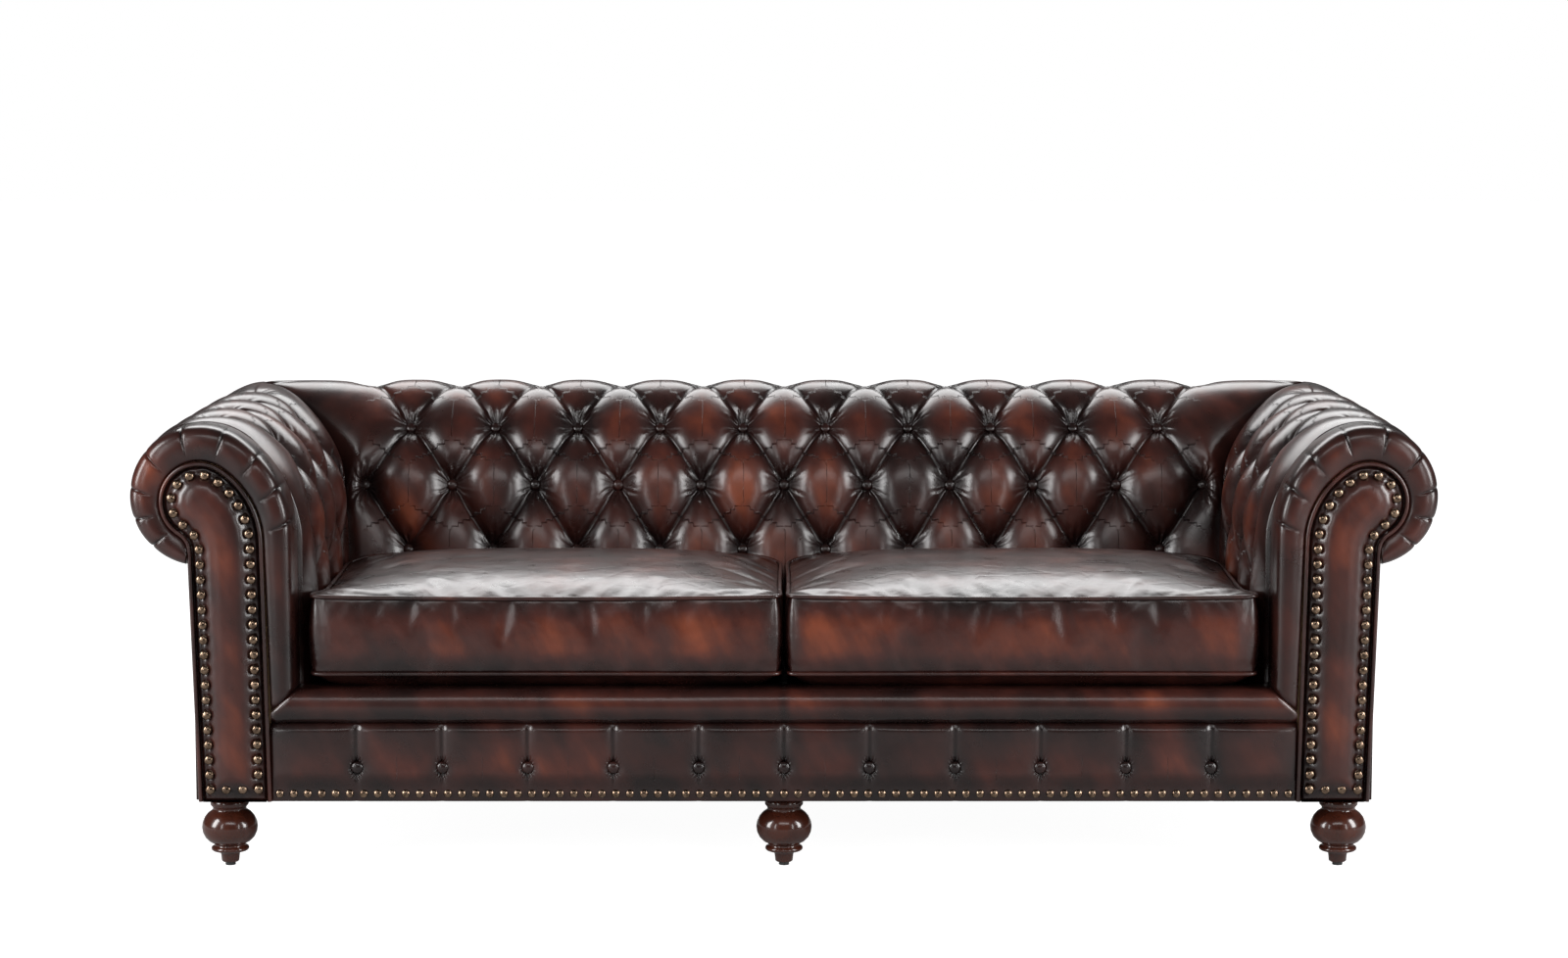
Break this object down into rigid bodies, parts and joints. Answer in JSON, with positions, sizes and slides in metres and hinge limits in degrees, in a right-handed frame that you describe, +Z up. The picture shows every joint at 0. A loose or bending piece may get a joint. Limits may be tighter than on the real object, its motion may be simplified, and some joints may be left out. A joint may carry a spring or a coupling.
{
  "type": "chesterfield sofa",
  "caption": "Chesterfield sofa with deep-buttoned rolled arms and back of one height, nailed scroll facings, loose seat cushions, a buttoned front border and turned feet.",
  "frame": {"origin": "on the floor, centred under the bounding box", "axes": "+X to the sofa's left-hand arm as seen by a sitter, that is to the right in a front view; the front faces -Y; +Z up"},
  "size_m": [2.2404, 0.96, 0.781],
  "materials": {
    "tufted_leather": "glossy hand-rubbed brown leather, darker in the folds",
    "border_leather": "glossy hand-rubbed brown leather, pleated",
    "cushion_leather": "glossy hand-rubbed brown leather, soft creases",
    "panel_leather": "glossy hand-rubbed brown leather, smooth",
    "lip_leather": "glossy hand-rubbed brown leather, smooth",
    "button_leather": "glossy dark brown leather",
    "piping_leather": "glossy dark brown leather",
    "foam": "cream upholstery foam",
    "webbing": "woven jute",
    "dust_cloth": "black non-woven cloth",
    "frame_wood": "sawn hardwood",
    "foot_wood": "turned wood, dark mahogany stain, gloss",
    "glide_plastic": "black plastic",
    "bolt_steel": "zinc-plated steel",
    "zip_brass": "antique brass"
  },
  "bodies": {
    "sofa": {"back_buttons": "button_leather", "back_ribs": "frame_wood", "back_roll_core": "foam", "back_tack_rail": "frame_wood", "back_top_rail": "frame_wood", "back_tufted_pad": "tufted_leather", "back_webbing": "webbing", "corner_blocks": "frame_wood", "dust_cover": "dust_cloth", "foot_glides": "glide_plastic", "front_border": "border_leather", "front_buttons": "button_leather", "front_feet": "foot_wood", "front_lip": "lip_leather", "front_seat_rail": "frame_wood", "hanger_bolts": "bolt_steel", "left_arm_buttons": "button_leather", "left_arm_facing": "panel_leather", "left_arm_front_border": "border_leather", "left_arm_front_post": "frame_wood", "left_arm_inner_panel": "frame_wood", "left_arm_rear_stile": "frame_wood", "left_arm_roll_core": "foam", "left_arm_tack_rail": "frame_wood", "left_arm_top_rail": "frame_wood", "left_arm_tufted_pad": "tufted_leather", "left_facing_piping": "piping_leather", "left_outside_arm": "panel_leather", "left_rear_post": "frame_wood", "left_side_rail": "frame_wood", "outside_back": "panel_leather", "rear_feet": "foot_wood", "rear_seat_rail": "frame_wood", "right_arm_buttons": "button_leather", "right_arm_facing": "panel_leather", "right_arm_front_border": "border_leather", "right_arm_front_post": "frame_wood", "right_arm_inner_panel": "frame_wood", "right_arm_rear_stile": "frame_wood", "right_arm_roll_core": "foam", "right_arm_tack_rail": "frame_wood", "right_arm_top_rail": "frame_wood", "right_arm_tufted_pad": "tufted_leather", "right_facing_piping": "piping_leather", "right_outside_arm": "panel_leather", "right_rear_post": "frame_wood", "right_side_rail": "frame_wood", "seat_cross_rails": "frame_wood", "seat_deck": "foam", "seat_webbing": "webbing"},
    "left_cushion": {"left_cushion_core": "foam", "left_cushion_cover": "cushion_leather", "left_cushion_piping": "piping_leather", "left_cushion_zip": "zip_brass"},
    "right_cushion": {"right_cushion_core": "foam", "right_cushion_cover": "cushion_leather", "right_cushion_piping": "piping_leather", "right_cushion_zip": "zip_brass"}
  },
  "joints": [
    {"name": "left_cushion_lift", "type": "slide", "parent": "sofa", "child": "left_cushion", "axis": [0, 0, 1], "range_m": [0, 0.48]},
    {"name": "right_cushion_lift", "type": "slide", "parent": "sofa", "child": "right_cushion", "axis": [0, 0, 1], "range_m": [0, 0.48]}
  ]
}
